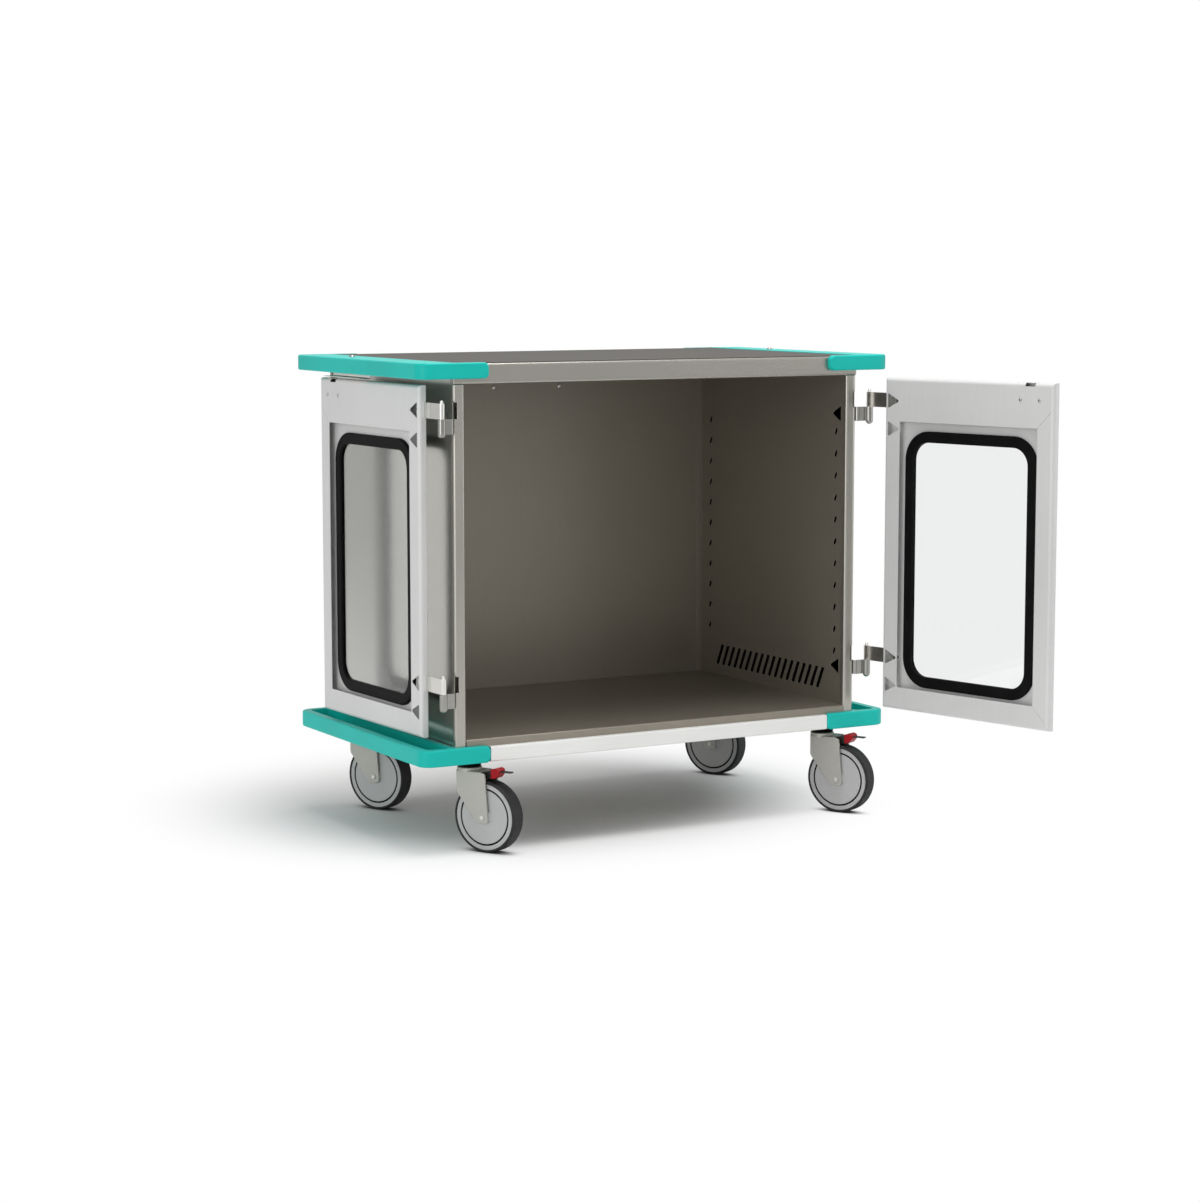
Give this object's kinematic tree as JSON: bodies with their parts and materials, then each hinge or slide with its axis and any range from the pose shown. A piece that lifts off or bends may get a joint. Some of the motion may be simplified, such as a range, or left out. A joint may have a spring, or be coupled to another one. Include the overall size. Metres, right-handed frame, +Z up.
{
  "type": "closed case cart",
  "caption": "Wheeled steel cabinet with double glazed doors that fold back flat to its sides, moulded corner bumpers and braked swivel casters, for moving sterile goods.",
  "frame": {"origin": "on the floor, under the middle of the bumper outline", "axes": "+X to the right seen from the door side, +Y to the back wall, +Z up"},
  "size_m": [1.2598, 1.1783, 1.05],
  "materials": {
    "black_lever": "black coated",
    "door_enamel": "smooth enamel",
    "gasket_rubber": "extruded rubber",
    "grey_enamel": "smooth enamel",
    "handle_black": "moulded polymer",
    "inner_enamel": "smooth enamel",
    "red_pedal": "moulded polymer",
    "teal_moulding": "satin moulded polymer",
    "trim_enamel": "smooth enamel",
    "tyre_black": "smooth tread",
    "wheel_grey": "moulded polymer",
    "window_glass": "clear pane",
    "zinc_fastener": "zinc plated",
    "zinc_hinge": "satin",
    "zinc_plate": "zinc plated pressing"
  },
  "bodies": {
    "cabinet": {"back_panel": "inner_enamel", "back_rivets": "zinc_fastener", "base_frame": "grey_enamel", "base_rails": "trim_enamel", "bumper_bolts": "zinc_fastener", "bumper_bottom_left": "teal_moulding", "bumper_bottom_right": "teal_moulding", "bumper_top_left": "teal_moulding", "bumper_top_right": "teal_moulding", "caster_plate_bolts": "zinc_fastener", "caster_top_plates": "black_lever", "floor_panel": "inner_enamel", "front_post_left": "grey_enamel", "front_post_right": "grey_enamel", "hinge_body_leaves": "zinc_hinge", "hinge_body_screws": "zinc_fastener", "hinge_pins": "zinc_hinge", "hold_catches": "zinc_hinge", "inner_side_left": "inner_enamel", "inner_side_right": "inner_enamel", "outer_sides": "grey_enamel", "rear_posts": "inner_enamel", "top_deck": "grey_enamel", "top_front_rail": "grey_enamel"},
    "left_door": {"door_pan_left": "door_enamel", "door_gasket_left": "gasket_rubber", "door_pane_left": "window_glass", "door_hinge_leaves_left": "zinc_hinge", "door_screws_left": "zinc_fastener", "latch_body_left": "black_lever"},
    "left_handle": {"door_handle_left": "handle_black"},
    "left_latch_bolt": {"latch_bolt_left": "zinc_hinge"},
    "right_door": {"door_pan_right": "door_enamel", "door_gasket_right": "gasket_rubber", "door_pane_right": "window_glass", "door_hinge_leaves_right": "zinc_hinge", "door_screws_right": "zinc_fastener", "latch_body_right": "black_lever"},
    "right_handle": {"door_handle_right": "handle_black"},
    "right_latch_bolt": {"latch_bolt_right": "zinc_hinge"},
    "swivel_front_left": {"caster_fork_front_left": "zinc_plate", "caster_axle_front_left": "zinc_fastener"},
    "wheel_front_left": {"caster_wheel_front_left": "wheel_grey", "caster_tyre_front_left": "tyre_black"},
    "brake_front_left": {"brake_lever_front_left": "black_lever", "brake_cap_front_left": "red_pedal"},
    "swivel_back_left": {"caster_fork_back_left": "zinc_plate", "caster_axle_back_left": "zinc_fastener"},
    "wheel_back_left": {"caster_wheel_back_left": "wheel_grey", "caster_tyre_back_left": "tyre_black"},
    "swivel_front_right": {"caster_fork_front_right": "zinc_plate", "caster_axle_front_right": "zinc_fastener"},
    "wheel_front_right": {"caster_wheel_front_right": "wheel_grey", "caster_tyre_front_right": "tyre_black"},
    "brake_front_right": {"brake_lever_front_right": "black_lever", "brake_cap_front_right": "red_pedal"},
    "swivel_back_right": {"caster_fork_back_right": "zinc_plate", "caster_axle_back_right": "zinc_fastener"},
    "wheel_back_right": {"caster_wheel_back_right": "wheel_grey", "caster_tyre_back_right": "tyre_black"}
  },
  "joints": [
    {"name": "left_door_swing", "type": "hinge", "parent": "cabinet", "child": "left_door", "pos_m": [-0.54, -0.323, 0], "axis": [0, 0, 1], "range_deg": [0, 268]},
    {"name": "right_door_swing", "type": "hinge", "parent": "cabinet", "child": "right_door", "pos_m": [0.54, -0.323, 0], "axis": [0, 0, 1], "range_deg": [-104, 164]},
    {"name": "left_handle_turn", "type": "hinge", "parent": "left_door", "child": "left_handle", "pos_m": [-0.55851, 0.14964, 0.945], "axis": [0.9994, 0.0349, 0], "range_deg": [0, 90]},
    {"name": "left_bolt_slide", "type": "slide", "parent": "left_door", "child": "left_latch_bolt", "axis": [0, 0, 1], "range_m": [0, 0.019]},
    {"name": "right_handle_turn", "type": "hinge", "parent": "right_door", "child": "right_handle", "pos_m": [0.65249, -0.78243, 0.945], "axis": [-0.9703, -0.2419, 0], "range_deg": [0, 90]},
    {"name": "right_bolt_slide", "type": "slide", "parent": "right_door", "child": "right_latch_bolt", "axis": [0, 0, 1], "range_m": [0, 0.019]},
    {"name": "swivel_front_left", "type": "hinge", "parent": "cabinet", "child": "swivel_front_left", "pos_m": [-0.454, -0.272, 0], "axis": [0, 0, 1], "continuous": true},
    {"name": "wheel_spin_front_left", "type": "hinge", "parent": "swivel_front_left", "child": "wheel_front_left", "pos_m": [-0.43053, -0.31615, 0.0775], "axis": [0.8829, 0.4695, 0], "continuous": true},
    {"name": "brake_press_front_left", "type": "hinge", "parent": "swivel_front_left", "child": "brake_front_left", "pos_m": [-0.43992, -0.29849, 0.162], "axis": [0.8829, 0.4695, 0], "range_deg": [0, 10]},
    {"name": "swivel_back_left", "type": "hinge", "parent": "cabinet", "child": "swivel_back_left", "pos_m": [-0.454, 0.278, 0], "axis": [0, 0, 1], "continuous": true},
    {"name": "wheel_spin_back_left", "type": "hinge", "parent": "swivel_back_left", "child": "wheel_back_left", "pos_m": [-0.43053, 0.23385, 0.0775], "axis": [0.8829, 0.4695, 0], "continuous": true},
    {"name": "swivel_front_right", "type": "hinge", "parent": "cabinet", "child": "swivel_front_right", "pos_m": [0.454, -0.272, 0], "axis": [0, 0, 1], "continuous": true},
    {"name": "wheel_spin_front_right", "type": "hinge", "parent": "swivel_front_right", "child": "wheel_front_right", "pos_m": [0.47747, -0.31615, 0.0775], "axis": [0.8829, 0.4695, 0], "continuous": true},
    {"name": "brake_press_front_right", "type": "hinge", "parent": "swivel_front_right", "child": "brake_front_right", "pos_m": [0.46808, -0.29849, 0.162], "axis": [0.8829, 0.4695, 0], "range_deg": [0, 10]},
    {"name": "swivel_back_right", "type": "hinge", "parent": "cabinet", "child": "swivel_back_right", "pos_m": [0.454, 0.278, 0], "axis": [0, 0, 1], "continuous": true},
    {"name": "wheel_spin_back_right", "type": "hinge", "parent": "swivel_back_right", "child": "wheel_back_right", "pos_m": [0.47747, 0.23385, 0.0775], "axis": [0.8829, 0.4695, 0], "continuous": true}
  ],
  "couplings": [
    {"joint": "left_bolt_slide", "follows": "left_handle_turn", "m_per_rad": 0.012096},
    {"joint": "right_bolt_slide", "follows": "right_handle_turn", "m_per_rad": 0.012096}
  ]
}
